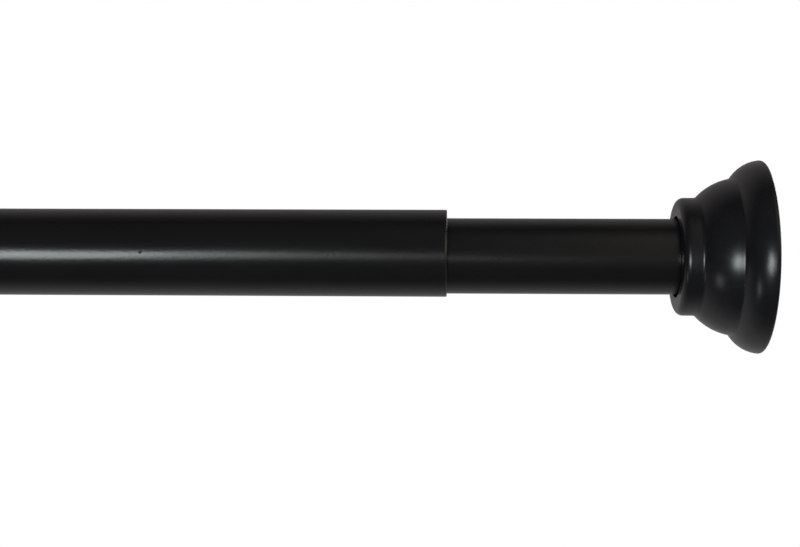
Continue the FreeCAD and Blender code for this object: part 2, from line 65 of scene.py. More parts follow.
def half_section(bm, corners):
    """Closed wire in the XZ plane, in mm. A corner is rounded over its reach, and where it has a bulge, an
    arc of that radius leads to it."""
    corners = [Corner(*given) for given in corners]
    ends = []
    links = []
    for corner in corners:
        start = ends[-1] if ends else None
        if corner.bulge:
            chord = Vector((corner.along, 0, corner.radius)) - start.co
            inward = Vector((-chord.z, 0, chord.x)).normalized()
            half = chord.length / 2
            centre = start.co + chord / 2 + inward * math.sqrt(corner.bulge ** 2 - half ** 2)
            arc = bmesh.ops.spin(bm, geom=[start], cent=centre, axis=(0, 1, 0),
                                 angle=-2 * math.asin(half / corner.bulge), steps=corner.bulge_steps)
            ends.append(next(item for item in arc["geom_last"] if isinstance(item, bmesh.types.BMVert)))
        else:
            ends.append(bm.verts.new((corner.along, 0, corner.radius)))
            if start:
                links.append((start, ends[-1]))
    for link in links + [(ends[-1], ends[0])]:
        bm.edges.new(link)
    for end, corner in zip(ends, corners):
        if corner.reach:
            bmesh.ops.bevel(bm, geom=[end], affect="VERTICES", offset=corner.reach,
                            segments=ROUND_SEGMENTS, profile=0.5, material=-1)


def turned(corners, steps=128):
    """A half section turned about the rod's axis."""
    bm = bmesh.new()
    half_section(bm, corners)
    bmesh.ops.spin(bm, geom=bm.verts[:] + bm.edges[:], cent=(0, 0, 0), axis=(1, 0, 0), angle=ROUND,
                   steps=steps, use_merge=True)
    bmesh.ops.remove_doubles(bm, verts=bm.verts, dist=MERGE_WITHIN)
    bmesh.ops.recalc_face_normals(bm, faces=bm.faces)
    return bm


def lengths_divided(bm, longest, cuts):
    """Cuts the faces of a tube that are longer than the longest, in mm, into shorter ones."""
    edges = [edge for edge in bm.edges if edge.calc_length() > longest]
    bmesh.ops.subdivide_edges(bm, edges=edges, cuts=cuts, use_grid_fill=True)


def made(name, bm, material, body, node, drop=0.0):
    """Turns a finished shape, in mm, into a piece on its body, and hides the CAD node that it stands for.
    """
    bmesh.ops.translate(bm, verts=bm.verts, vec=(0, 0, -drop))
    bmesh.ops.scale(bm, verts=bm.verts, vec=(MM, MM, MM))
    mesh = bpy.data.meshes.new(name)
    bm.to_mesh(mesh)
    bm.free()
    mesh.shade_smooth()
    mesh.set_sharp_from_angle(angle=math.radians(SHARP_DEGREES))
    mesh.materials.append(material)
    piece = bpy.data.objects.new(name, mesh)
    bpy.context.scene.collection.objects.link(piece)
    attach(piece, body)
    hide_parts(node)
    return piece


def linear(hex_colour):
    """An sRGB hex colour as linear RGBA."""
    shares = [int(hex_colour[place:place + 2], 16) / 255 for place in (1, 3, 5)]
    return [s / 12.92 if s <= 0.04045 else ((s + 0.055) / 1.055) ** 2.4 for s in shares] + [1.0]


def add_node(tree, kind, inputs, **settings):
    """Adds a node. An input that is another node's output is linked, any other is set."""
    node = tree.nodes.new(kind)
    for setting, choice in settings.items():
        setattr(node, setting, choice)
    for socket, given in inputs.items():
        if isinstance(given, bpy.types.NodeSocket):
            tree.links.new(given, node.inputs[socket])
        else:
            node.inputs[socket].default_value = given
    return node


def new_finish(name):
    """A material with its shader, and the place on the piece in metres."""
    material = bpy.data.materials.new(name)
    material.use_nodes = True
    tree = material.node_tree
    place = add_node(tree, "ShaderNodeTexCoord", {}).outputs["Object"]
    return material, tree, tree.nodes["Principled BSDF"], place


def per_size(millimetres):
    """Noise scale whose blotches are about that many millimetres across."""
    return 1 / (millimetres * MM)


def metres(millimetres):
    """A place on the rod, from mm to metres."""
    return [share * MM for share in millimetres]


# Baked enamel: a thin glossy black film. Spraying leaves a faint orange peel, and the drawn steel under it
# shows as fine lines along the tube. Roughness drifts a little along the length, as handling leaves it.
# Sizes of its patterns are in mm.
FILM_DARK = "#0b0b0c"
FILM_PALE = "#111112"
WORN_STEEL = "#7a7067"
SHADE_SIZE = 24
CHIP_SIZE = 7
BARE_REACH = 4.5
BARE_CORE = 0.5
DRAWN_OUT = (0.12, 1.0, 1.0)
RUB_SIZE = 3.5
PEEL_SIZE = 0.9
LINE_SIZE = 0.5
LINE_SHARE = 0.08
WAVE_SIZE = 7
WAVE_SHARE = 2.0
PEEL_HEIGHT = 0.045
PIT_REACH = 0.58
PIT_CORE = 0.15


def enamel(name, worn_from, worn_to, bare, pit):
    """Black enamel that is worn to brown steel between two places along the rod, most of all about a bare
    spot, with one dull pit. The places are in mm."""
    material, tree, shader, place = new_finish(name)
    cloud = add_node(tree, "ShaderNodeTexNoise", {
        "Vector": place, "Scale": per_size(SHADE_SIZE), "Detail": 4.0})
    shade = add_node(tree, "ShaderNodeMix", {
        "Factor": cloud.outputs["Fac"], "A": linear(FILM_DARK), "B": linear(FILM_PALE)}, data_type="RGBA")
    along = add_node(tree, "ShaderNodeSeparateXYZ", {"Vector": place})
    edge = add_node(tree, "ShaderNodeMapRange", {
        "Value": along.outputs["X"], "From Min": worn_from * MM, "From Max": worn_to * MM})
    chip = add_node(tree, "ShaderNodeTexNoise", {
        "Vector": place, "Scale": per_size(CHIP_SIZE), "Detail": 3.0})
    chips = add_node(tree, "ShaderNodeMapRange", {
        "Value": chip.outputs["Fac"], "From Min": 0.45, "From Max": 0.7, "To Max": 0.2})
    from_bare = add_node(tree, "ShaderNodeVectorMath", {0: place, 1: metres(bare)}, operation="DISTANCE")
    rubbed = add_node(tree, "ShaderNodeMapRange", {
        "Value": from_bare.outputs["Value"], "From Min": BARE_REACH * MM, "From Max": BARE_CORE * MM,
        "To Max": 0.5})
    thinned = add_node(tree, "ShaderNodeMath", {
        0: chips.outputs["Result"], 1: rubbed.outputs["Result"]}, operation="MAXIMUM")
    worn = add_node(tree, "ShaderNodeMath", {
        0: edge.outputs["Result"], 1: thinned.outputs["Value"]}, operation="MULTIPLY")
    colour = add_node(tree, "ShaderNodeMix", {
        "Factor": worn.outputs["Value"], "A": shade.outputs["Result"], "B": linear(WORN_STEEL)},
        data_type="RGBA")
    smear = add_node(tree, "ShaderNodeMapping", {"Vector": place, "Scale": DRAWN_OUT})
    rub = add_node(tree, "ShaderNodeTexNoise", {
        "Vector": smear.outputs["Vector"], "Scale": per_size(RUB_SIZE), "Detail": 5.0})
    sheen = add_node(tree, "ShaderNodeMapRange", {
        "Value": rub.outputs["Fac"], "From Min": 0.3, "From Max": 0.7, "To Min": 0.20, "To Max": 0.26})
    peel = add_node(tree, "ShaderNodeTexNoise", {
        "Vector": place, "Scale": per_size(PEEL_SIZE), "Detail": 2.0})
    lines = add_node(tree, "ShaderNodeTexNoise", {
        "Vector": smear.outputs["Vector"], "Scale": per_size(LINE_SIZE), "Detail": 3.0})
    fine = add_node(tree, "ShaderNodeMath", {
        0: lines.outputs["Fac"], 1: LINE_SHARE, 2: peel.outputs["Fac"]}, operation="MULTIPLY_ADD")
    wave = add_node(tree, "ShaderNodeTexNoise", {
        "Vector": smear.outputs["Vector"], "Scale": per_size(WAVE_SIZE), "Detail": 1.0})
    relief = add_node(tree, "ShaderNodeMath", {
        0: wave.outputs["Fac"], 1: WAVE_SHARE, 2: fine.outputs["Value"]}, operation="MULTIPLY_ADD")
    bump = add_node(tree, "ShaderNodeBump", {
        "Height": relief.outputs["Value"], "Strength": 0.55, "Distance": PEEL_HEIGHT * MM})
    from_pit = add_node(tree, "ShaderNodeVectorMath", {0: place, 1: metres(pit)}, operation="DISTANCE")
    dull = add_node(tree, "ShaderNodeMapRange", {
        "Value": from_pit.outputs["Value"], "From Min": PIT_REACH * MM, "From Max": PIT_CORE * MM,
        "To Max": 0.5})
    rough = add_node(tree, "ShaderNodeMath", {0: sheen.outputs["Result"], 1: dull.outputs["Result"]})
    tree.links.new(colour.outputs["Result"], shader.inputs["Base Color"])
    tree.links.new(worn.outputs["Value"], shader.inputs["Metallic"])
    tree.links.new(rough.outputs["Value"], shader.inputs["Roughness"])
    tree.links.new(bump.outputs["Normal"], shader.inputs["Normal"])
    return material


MOUTH_WORN = (MOUTH - 0.7, MOUTH - 0.15)
MOUTH_BARE = (MOUTH, -12.3, 2.8)
FRONT_PIT = (468.25, -12.69, 0.62)
larger_tube = turned((
    (OUTER_START, OUTER_BORE),
    (MOUTH - MOUTH_BAND, OUTER_BORE),
    (MOUTH, OUTER_BORE, MOUTH_ROUND),
    (MOUTH, OUTER_RADIUS, MOUTH_ROUND),
    (MOUTH - MOUTH_BAND, OUTER_RADIUS),
    (OUTER_START, OUTER_RADIUS)))
lengths_divided(larger_tube, longest=100, cuts=35)
paint = enamel("baked_black_enamel", *MOUTH_WORN, bare=MOUTH_BARE, pit=FRONT_PIT)
made("larger_tube", larger_tube, paint, "outer_tube", "outer_tube")

# Spindle: turned from white acetal rod. Its shank has a coarse thread for the lock cone, its six-sided stem
# slides in the guide bush without turning, and the spring pushes on its round head.
LOW_AXIS = 0.75
SHANK_START = 108.5
SHOULDER = 140.0
SHANK_RADIUS = 4.0
SHANK_CORE = 3.3
SHANK_PITCH = 3.0
RUN_IN = 0.6
RUN_OUT = 0.8
FLAT_DEGREES = 0.5
RADIUS_WITHIN = 0.02
SHANK_BEYOND = 2.5
THREAD_SINK = 0.15
LAND_START, LAND_END, FOOT_END = 0.2, 0.36, 0.56  # shares of the pitch
STEPS_PER_THREAD = 32


def threaded(node, start, end, crest, core, pitch, drop):
    """A merged copy of a CAD node, in mm about its own axis, whose shank is cut down to the core of a
    thread that winds from start to end."""
    bm = bmesh.new()
    bm.from_mesh(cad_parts[node].data)
    bmesh.ops.scale(bm, verts=bm.verts, vec=(1 / MM, 1 / MM, 1 / MM))
    bmesh.ops.translate(bm, verts=bm.verts, vec=(0, 0, drop))
    bmesh.ops.remove_doubles(bm, verts=bm.verts, dist=MERGE_WITHIN)
    bmesh.ops.dissolve_limit(bm, angle_limit=math.radians(FLAT_DEGREES), verts=bm.verts, edges=bm.edges)
    shank = [vert for vert in bm.verts
             if abs(vert.co.yz.length - crest) < RADIUS_WITHIN
             and start - SHANK_BEYOND < vert.co.x < end + SHANK_BEYOND]
    bmesh.ops.scale(bm, verts=shank, vec=(1, core / crest, core / crest))
    root = core - THREAD_SINK
    ridge = [bm.verts.new((start + across * pitch, 0, radius))
             for across, radius in ((0.0, root), (LAND_START, crest), (LAND_END, crest), (FOOT_END, root))]
    loop = [bm.edges.new((ridge[number - 1], ridge[number])) for number in range(len(ridge))]
    turns = (end - start) / pitch - FOOT_END
    steps = round(turns * STEPS_PER_THREAD)
    bmesh.ops.spin(bm, geom=ridge + loop, cent=(0, 0, 0), axis=(1, 0, 0),
                   dvec=(turns * pitch / steps, 0, 0), angle=turns * ROUND, steps=steps)
    bmesh.ops.holes_fill(bm, edges=bm.edges, sides=len(ridge))
    bmesh.ops.recalc_face_normals(bm, faces=bm.faces)
    return bm


# White acetal: a waxy engineering plastic, slightly translucent, with the fine rings that turning leaves.
# The wave texture repeats after 2 pi of 20 times its place, so the rings are drawn 2.5 mm apart.
ACETAL_DARK = "#dddcd6"
ACETAL_PALE = "#efeee9"
WAVE_FACTOR = 20
RING_RADIAN = 0.4
acetal, tree, shader, place = new_finish("white_acetal")
cloud = add_node(tree, "ShaderNodeTexNoise", {"Vector": place, "Scale": per_size(9), "Detail": 3.0})
shade = add_node(tree, "ShaderNodeMix", {
    "Factor": cloud.outputs["Fac"], "A": linear(ACETAL_DARK), "B": linear(ACETAL_PALE)}, data_type="RGBA")
rings = add_node(tree, "ShaderNodeTexWave", {
    "Vector": place, "Scale": per_size(RING_RADIAN) / WAVE_FACTOR, "Distortion": 0.4}, bands_direction="X")
bump = add_node(tree, "ShaderNodeBump", {
    "Height": rings.outputs["Fac"], "Strength": 0.1, "Distance": 0.02 * MM})
tree.links.new(shade.outputs["Result"], shader.inputs["Base Color"])
tree.links.new(bump.outputs["Normal"], shader.inputs["Normal"])
shader.inputs["Roughness"].default_value = 0.34
shader.inputs["IOR"].default_value = 1.48

spindle = threaded("spindle", SHANK_START + RUN_IN, SHOULDER - RUN_OUT, SHANK_RADIUS, SHANK_CORE,
                   SHANK_PITCH, LOW_AXIS)
made("threaded_spindle", spindle, acetal, "spindle", "spindle", LOW_AXIS)

# Lock cone: tapered acetal nut on the spindle's thread. Four keys in the sleeve's slots keep it from
# turning, so a twist of the smaller tube draws it into the sleeve.
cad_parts["lock_cone"].material_slots[0].material = acetal

# Lock sleeve, guide bush and spring stop: moulded in natural nylon. The sleeve's fingers are spread against
# the larger tube's bore, the bush is pressed into the smaller tube, the stop is held by a rolled groove.
# Natural nylon: creamy and a little cloudy, with the dull fine grain of the mould.
NYLON_DARK = "#cfc6b0"
NYLON_PALE = "#e2dbc8"
nylon, tree, shader, place = new_finish("natural_nylon")
cloud = add_node(tree, "ShaderNodeTexNoise", {"Vector": place, "Scale": per_size(7), "Detail": 4.0})
shade = add_node(tree, "ShaderNodeMix", {
    "Factor": cloud.outputs["Fac"], "A": linear(NYLON_DARK), "B": linear(NYLON_PALE)}, data_type="RGBA")
grain = add_node(tree, "ShaderNodeTexNoise", {"Vector": place, "Scale": per_size(0.4), "Detail": 2.0})
dull = add_node(tree, "ShaderNodeMapRange", {
    "Value": grain.outputs["Fac"], "From Min": 0.3, "From Max": 0.7, "To Min": 0.38, "To Max": 0.5})
bump = add_node(tree, "ShaderNodeBump", {
    "Height": grain.outputs["Fac"], "Strength": 0.15, "Distance": 0.02 * MM})
tree.links.new(shade.outputs["Result"], shader.inputs["Base Color"])
tree.links.new(dull.outputs["Result"], shader.inputs["Roughness"])
tree.links.new(bump.outputs["Normal"], shader.inputs["Normal"])
shader.inputs["IOR"].default_value = 1.53
for node in ("lock_sleeve", "guide_bush", "spring_stop"):
    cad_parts[node].material_slots[0].material = nylon

# Washers: punched from steel strip and zinc plated. One takes the thrust of the sleeve, one keeps the cone
# on the spindle, and one lies under each cap screw.
# Bright zinc plate: silvery with a faint blue and yellow bloom, and a soft satin from the plating.
ZINC_BLUE = "#b4bac2"
ZINC_YELLOW = "#cfccbf"
zinc, tree, shader, place = new_finish("bright_zinc_plate")
bloom = add_node(tree, "ShaderNodeTexNoise", {"Vector": place, "Scale": per_size(3), "Detail": 3.0})
shade = add_node(tree, "ShaderNodeMix", {
    "Factor": bloom.outputs["Fac"], "A": linear(ZINC_BLUE), "B": linear(ZINC_YELLOW)}, data_type="RGBA")
satin = add_node(tree, "ShaderNodeTexNoise", {"Vector": place, "Scale": per_size(0.8), "Detail": 4.0})
dull = add_node(tree, "ShaderNodeMapRange", {
    "Value": satin.outputs["Fac"], "From Min": 0.3, "From Max": 0.7, "To Min": 0.24, "To Max": 0.42})
tree.links.new(shade.outputs["Result"], shader.inputs["Base Color"])
tree.links.new(dull.outputs["Result"], shader.inputs["Roughness"])
shader.inputs["Metallic"].default_value = 1.0
for node in ("thrust_washer", "stop_washer", "cap_washer_left", "cap_washer_right"):
    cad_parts[node].material_slots[0].material = zinc

# Screws: zinc plated pan head screws with a cross recess. One in the spindle's end keeps the cone on, one
# through each cap's web holds the cap to its plug.
SCREW_CREST = 1.75
SCREW_CORE = 1.3
SCREW_PITCH = 1.3
for name, body, node, start, end, drop in (
        ("cone_stop_screw", "spindle", "stop_screw", 109.0, 115.4, LOW_AXIS),
        ("left_cap_screw", "outer_tube", "cap_screw_left", 8.0, 19.6, 0.0),
        ("right_cap_screw", "inner_tube", "cap_screw_right", 627.4, 639.0, LOW_AXIS)):
    screw = threaded(node, start, end, SCREW_CREST, SCREW_CORE, SCREW_PITCH, drop)
    made(name, screw, zinc, body, node, drop)

# Spring: hard-drawn steel wire, cold coiled, with closed ends. It pushes the smaller tube away from the
# spindle, and shortens by the rod's give when the rod is pressed between two walls.
SPRING_START = 190.0
SPRING_LENGTH = 76.0
COIL_RADIUS = 8.0
WIRE_RADIUS = 0.8
WIRE_SIDES = 14
CLOSED_TURNS = 0.75
CLOSED_PITCH = 1.7
EASED_TURNS = 0.5
EASED_PITCH = 6.5
OPEN_TURNS = 5.5
STEPS_PER_TURN = 48
coils = bmesh.new()
wire = bmesh.ops.create_circle(coils, segments=WIRE_SIDES, radius=WIRE_RADIUS)["verts"]
bmesh.ops.rotate(coils, verts=wire, cent=(0, 0, 0), matrix=Matrix.Rotation(math.pi / 2, 3, "X"))
bmesh.ops.translate(coils, verts=wire, vec=(SPRING_START + WIRE_RADIUS, 0, COIL_RADIUS))
open_pitch = (SPRING_LENGTH - 2 * WIRE_RADIUS - 2 * CLOSED_TURNS * CLOSED_PITCH
              - 2 * EASED_TURNS * EASED_PITCH) / OPEN_TURNS
tip = coils.verts[:] + coils.edges[:]
for turns, pitch in ((CLOSED_TURNS, CLOSED_PITCH), (EASED_TURNS, EASED_PITCH), (OPEN_TURNS, open_pitch),
                     (EASED_TURNS, EASED_PITCH), (CLOSED_TURNS, CLOSED_PITCH)):
    wound = bmesh.ops.spin(coils, geom=tip, cent=(0, 0, 0), axis=(1, 0, 0),
                           dvec=(pitch / STEPS_PER_TURN, 0, 0), angle=turns * ROUND,
                           steps=round(turns * STEPS_PER_TURN))
    tip = wound["geom_last"]
bmesh.ops.holes_fill(coils, edges=coils.edges, sides=WIRE_SIDES)
bmesh.ops.recalc_face_normals(coils, faces=coils.faces)

# Spring steel: dark grey drawn wire with an oily sheen and fine die marks.
WIRE_DARK = "#6d6f72"
WIRE_PALE = "#8d8e8f"
spring_steel, tree, shader, place = new_finish("drawn_spring_steel")
bloom = add_node(tree, "ShaderNodeTexNoise", {"Vector": place, "Scale": per_size(2.5), "Detail": 4.0})
shade = add_node(tree, "ShaderNodeMix", {
    "Factor": bloom.outputs["Fac"], "A": linear(WIRE_DARK), "B": linear(WIRE_PALE)}, data_type="RGBA")
marks = add_node(tree, "ShaderNodeTexNoise", {"Vector": place, "Scale": per_size(0.3), "Detail": 3.0})
dull = add_node(tree, "ShaderNodeMapRange", {
    "Value": marks.outputs["Fac"], "From Min": 0.3, "From Max": 0.7, "To Min": 0.3, "To Max": 0.45})
tree.links.new(shade.outputs["Result"], shader.inputs["Base Color"])
tree.links.new(dull.outputs["Result"], shader.inputs["Roughness"])
shader.inputs["Metallic"].default_value = 1.0
spring = made("spring_coils", coils, spring_steel, "inner_tube", "compression_spring",
              LOW_AXIS)
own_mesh(spring)

# Smaller tube: welded steel tube in the same enamel, which slides in the larger one and lies in the bottom
# of its bore. A groove rolled into it grips the spring stop. Its inner end is rubbed by sliding.
INNER_RADIUS = 11.0
INNER_BORE = 10.4
INNER_START = 170.0
INNER_END = 635.0
INNER_WORN = (INNER_START + 3, INNER_START)
INNER_BARE = (INNER_START, 0, -11.7)
BACK_PIT = (590.0, 10.2, 3.4)
GROOVE_MIDDLE = 273.0
GROOVE_HALF = 1.5
GROOVE_SLOPE = 1.2
GROOVE_DEPTH = 0.8
GROOVE_ROUND = 0.5
groove = ((-GROOVE_HALF - GROOVE_SLOPE, 0), (-GROOVE_HALF, GROOVE_DEPTH),
          (GROOVE_HALF, GROOVE_DEPTH), (GROOVE_HALF + GROOVE_SLOPE, 0))
smaller_tube = turned((
    (INNER_START, INNER_BORE),
    *((GROOVE_MIDDLE + off, INNER_BORE - depth, GROOVE_ROUND) for off, depth in groove),
    (INNER_END, INNER_BORE),
    (INNER_END, INNER_RADIUS),
    *((GROOVE_MIDDLE + off, INNER_RADIUS - depth, GROOVE_ROUND) for off, depth in reversed(groove)),
    (INNER_START, INNER_RADIUS)))
lengths_divided(smaller_tube, longest=80, cuts=23)
paint = enamel("rubbed_black_enamel", *INNER_WORN, bare=INNER_BARE, pit=BACK_PIT)
made("smaller_tube", smaller_tube, paint, "inner_tube", "inner_tube", LOW_AXIS)

# Tube plugs: black nylon mouldings pressed into the outer ends of both tubes, with a ribbed boss that the
# cap screw cuts its thread in.
# Black nylon: dull dark plastic with a fine mould grain.
PLUG_DARK = "#131313"
PLUG_PALE = "#1c1c1c"
plug_nylon, tree, shader, place = new_finish("moulded_black_nylon")
grain = add_node(tree, "ShaderNodeTexNoise", {"Vector": place, "Scale": per_size(0.5), "Detail": 3.0})
shade = add_node(tree, "ShaderNodeMix", {
    "Factor": grain.outputs["Fac"], "A": linear(PLUG_DARK), "B": linear(PLUG_PALE)}, data_type="RGBA")
dull = add_node(tree, "ShaderNodeMapRange", {
    "Value": grain.outputs["Fac"], "From Min": 0.3, "From Max": 0.7, "To Min": 0.42, "To Max": 0.56})
bump = add_node(tree, "ShaderNodeBump", {
    "Height": grain.outputs["Fac"], "Strength": 0.2, "Distance": 0.03 * MM})
tree.links.new(shade.outputs["Result"], shader.inputs["Base Color"])
tree.links.new(dull.outputs["Result"], shader.inputs["Roughness"])
tree.links.new(bump.outputs["Normal"], shader.inputs["Normal"])
for node in ("tube_plug_left", "tube_plug_right"):
    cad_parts[node].material_slots[0].material = plug_nylon

# End caps: stepped bells moulded in black ABS, with a collar, a dome and a rim. Each is a shell with a
# socket for its tube, six ribs behind the dome and a seat for the wall pad, and is screwed to the plug.
LEFT_FACE = 25.0
RIGHT_FACE = 622.0
COLLAR_RADIUS = 17.1
COLLAR_LENGTH = 5.65
COLLAR_REACH = 2.1
COLLAR_FILLET = 0.62
DOME_RADIUS = 22.8
DOME_END = 15.8
DOME_BULGE = 17.2
DOME_STEPS = 12
RIM_RADIUS = 28.05
RIM_END = 24.4
RIM_BULGE = 9.8
RIM_STEPS = 8
RIM_REACH = 0.9
RIM_FILLET = 0.3
SOCKET_GAP = 0.85
SOCKET_WALL = 2.2
SOCKET_END = 15.0
WEB_END = 17.5
WEB_HOLE = 2.15
HOLLOW_START = 10.0
HOLLOW_FRONT = 18.0
HOLLOW_BACK = 22.4
PAD_SEAT = 21.4
SEAT_RADIUS = 25.15
MOULD_REACH = 0.4
LIP_REACH = 0.2
CAP_STEPS = 160
RIBS = 6
RIB_THICK = 1.6
RIB_BITE = 0.4
RIB_RISE = 1.0


def end_cap(tube_radius):
    """A cap with its collar's face at zero and its rim towards +X, in mm."""
    bore = tube_radius + SOCKET_GAP
    socket = bore + SOCKET_WALL
    bm = turned((
        (0, bore, LIP_REACH),
        (SOCKET_END, bore),
        (SOCKET_END, WEB_HOLE),
        (WEB_END, WEB_HOLE),
        (WEB_END, socket, MOULD_REACH),
        (HOLLOW_START, socket, MOULD_REACH),
        (HOLLOW_START, HOLLOW_FRONT, MOULD_REACH),
        (PAD_SEAT, HOLLOW_BACK),
        (PAD_SEAT, SEAT_RADIUS),
        (RIM_END, SEAT_RADIUS, MOULD_REACH),
        (RIM_END, RIM_RADIUS, RIM_REACH),
        (DOME_END, DOME_RADIUS, RIM_FILLET, RIM_BULGE, RIM_STEPS),
        (COLLAR_LENGTH, COLLAR_RADIUS, COLLAR_FILLET, DOME_BULGE, DOME_STEPS),
        (0, COLLAR_RADIUS, COLLAR_REACH)), steps=CAP_STEPS)
    corners = ((HOLLOW_START - RIB_BITE, socket - RIB_BITE), (WEB_END, socket - RIB_BITE),
               (PAD_SEAT, socket + RIB_RISE), (PAD_SEAT, HOLLOW_BACK + RIB_BITE),
               (HOLLOW_START - RIB_BITE, HOLLOW_FRONT + RIB_BITE))
    side = bm.faces.new([bm.verts.new((along, -RIB_THICK / 2, radius)) for along, radius in corners])
    grown = bmesh.ops.extrude_face_region(bm, geom=[side], use_keep_orig=True)["geom"]
    far = [item for item in grown if isinstance(item, bmesh.types.BMVert)]
    bmesh.ops.translate(bm, verts=far, vec=(0, RIB_THICK, 0))
    rib = set(side.verts) | set(far)
    faces = [face for face in bm.faces if set(face.verts) <= rib]
    bmesh.ops.recalc_face_normals(bm, faces=faces)
    bmesh.ops.spin(bm, geom=faces, cent=(0, 0, 0), axis=(1, 0, 0), angle=ROUND * (RIBS - 1) / RIBS,
                   steps=RIBS - 1, use_duplicate=True)
    return bm


# Moulded ABS: semi-gloss black with a faint cool cast. The polished mould leaves a very fine grain, and
# flow lines make the gloss drift softly round the cap.
ABS_DARK = "#0b0c0e"
ABS_PALE = "#111215"
abs_black, tree, shader, place = new_finish("moulded_black_abs")
cloud = add_node(tree, "ShaderNodeTexNoise", {"Vector": place, "Scale": per_size(14), "Detail": 3.0})
shade = add_node(tree, "ShaderNodeMix", {
    "Factor": cloud.outputs["Fac"], "A": linear(ABS_DARK), "B": linear(ABS_PALE)}, data_type="RGBA")
flow = add_node(tree, "ShaderNodeTexNoise", {
    "Vector": place, "Scale": per_size(6), "Detail": 4.0, "Distortion": 0.6})
gloss = add_node(tree, "ShaderNodeMapRange", {
    "Value": flow.outputs["Fac"], "From Min": 0.3, "From Max": 0.7, "To Min": 0.23, "To Max": 0.29})
grain = add_node(tree, "ShaderNodeTexNoise", {"Vector": place, "Scale": per_size(0.9), "Detail": 3.0})
bump = add_node(tree, "ShaderNodeBump", {
    "Height": grain.outputs["Fac"], "Strength": 0.08, "Distance": 0.03 * MM})
tree.links.new(shade.outputs["Result"], shader.inputs["Base Color"])
tree.links.new(gloss.outputs["Result"], shader.inputs["Roughness"])
tree.links.new(bump.outputs["Normal"], shader.inputs["Normal"])
shader.inputs["IOR"].default_value = 1.53

HALF_TURN = Matrix.Rotation(math.pi, 3, "Z")
left_cap = end_cap(OUTER_RADIUS)
bmesh.ops.rotate(left_cap, verts=left_cap.verts, cent=(0, 0, 0), matrix=HALF_TURN)
bmesh.ops.translate(left_cap, verts=left_cap.verts, vec=(LEFT_FACE, 0, 0))
made("left_end_cap", left_cap, abs_black, "outer_tube", "end_cap_left")
right_cap = end_cap(INNER_RADIUS)
bmesh.ops.translate(right_cap, verts=right_cap.verts, vec=(RIGHT_FACE, 0, 0))
made("right_end_cap", right_cap, abs_black, "inner_tube", "end_cap_right", LOW_AXIS)

# Wall pads: discs moulded in black rubber and pressed into the caps' backs. They stand a little proud, and
# interrupted grip rings are sunk into the face that bears on the wall.
PAD_RADIUS = 25.0
PAD_THICK = 3.6
PAD_REACH = 0.7
PAD_BACK_REACH = 0.3
RING_STARTS = (6.0, 10.6, 15.2)
RING_WIDTH = 1.6
RING_DEPTH = 0.8
RING_ARC = 76
RING_REPEAT = 90
PAD_STEPS = 180
FACE_WITHIN = 0.01
RIGHT_END = 647.0


def wall_pad():
    """A pad with its wall face at zero and its back towards +X, in mm."""
    edges = [radius for start in RING_STARTS for radius in (start, start + RING_WIDTH)]
    bm = turned((
        (0, 0),
        (PAD_THICK, 0),
        (PAD_THICK, PAD_RADIUS, PAD_BACK_REACH),
        (0, PAD_RADIUS, PAD_REACH),
        *((0, radius) for radius in reversed(edges))), steps=PAD_STEPS)
    sunk = []
    for face in bm.faces:
        middle = face.calc_center_median()
        turn = math.degrees(math.atan2(-middle.y, middle.z)) % RING_REPEAT
        on_ring = any(start < middle.yz.length < start + RING_WIDTH for start in RING_STARTS)
        if abs(middle.x) < FACE_WITHIN and on_ring and turn < RING_ARC:
            sunk.append(face)
    floor = bmesh.ops.extrude_face_region(bm, geom=sunk)["geom"]
    bmesh.ops.delete(bm, geom=sunk, context="FACES_ONLY")
    bmesh.ops.translate(bm, verts=[item for item in floor if isinstance(item, bmesh.types.BMVert)],
                        vec=(RING_DEPTH, 0, 0))
    bmesh.ops.recalc_face_normals(bm, faces=bm.faces)
    return bm


# Black rubber: matt and slightly grey, with the grain of a sand-blasted mould and a little dust.
RUBBER_DARK = "#151515"
RUBBER_DUSTY = "#262625"
rubber, tree, shader, place = new_finish("moulded_black_rubber")
dust = add_node(tree, "ShaderNodeTexNoise", {"Vector": place, "Scale": per_size(2.2), "Detail": 6.0})
shade = add_node(tree, "ShaderNodeMix", {
    "Factor": dust.outputs["Fac"], "A": linear(RUBBER_DARK), "B": linear(RUBBER_DUSTY)}, data_type="RGBA")
grain = add_node(tree, "ShaderNodeTexNoise", {"Vector": place, "Scale": per_size(0.45), "Detail": 3.0})
dull = add_node(tree, "ShaderNodeMapRange", {
    "Value": grain.outputs["Fac"], "From Min": 0.3, "From Max": 0.7, "To Min": 0.62, "To Max": 0.8})
bump = add_node(tree, "ShaderNodeBump", {
    "Height": grain.outputs["Fac"], "Strength": 0.35, "Distance": 0.06 * MM})
tree.links.new(shade.outputs["Result"], shader.inputs["Base Color"])
tree.links.new(dull.outputs["Result"], shader.inputs["Roughness"])
tree.links.new(bump.outputs["Normal"], shader.inputs["Normal"])

left_pad = wall_pad()
made("left_wall_pad", left_pad, rubber, "outer_tube", "wall_pad_left")
right_pad = wall_pad()
bmesh.ops.rotate(right_pad, verts=right_pad.verts, cent=(0, 0, 0), matrix=HALF_TURN)
bmesh.ops.translate(right_pad, verts=right_pad.verts, vec=(RIGHT_END, 0, 0))
made("right_wall_pad", right_pad, rubber, "inner_tube", "wall_pad_right", LOW_AXIS)

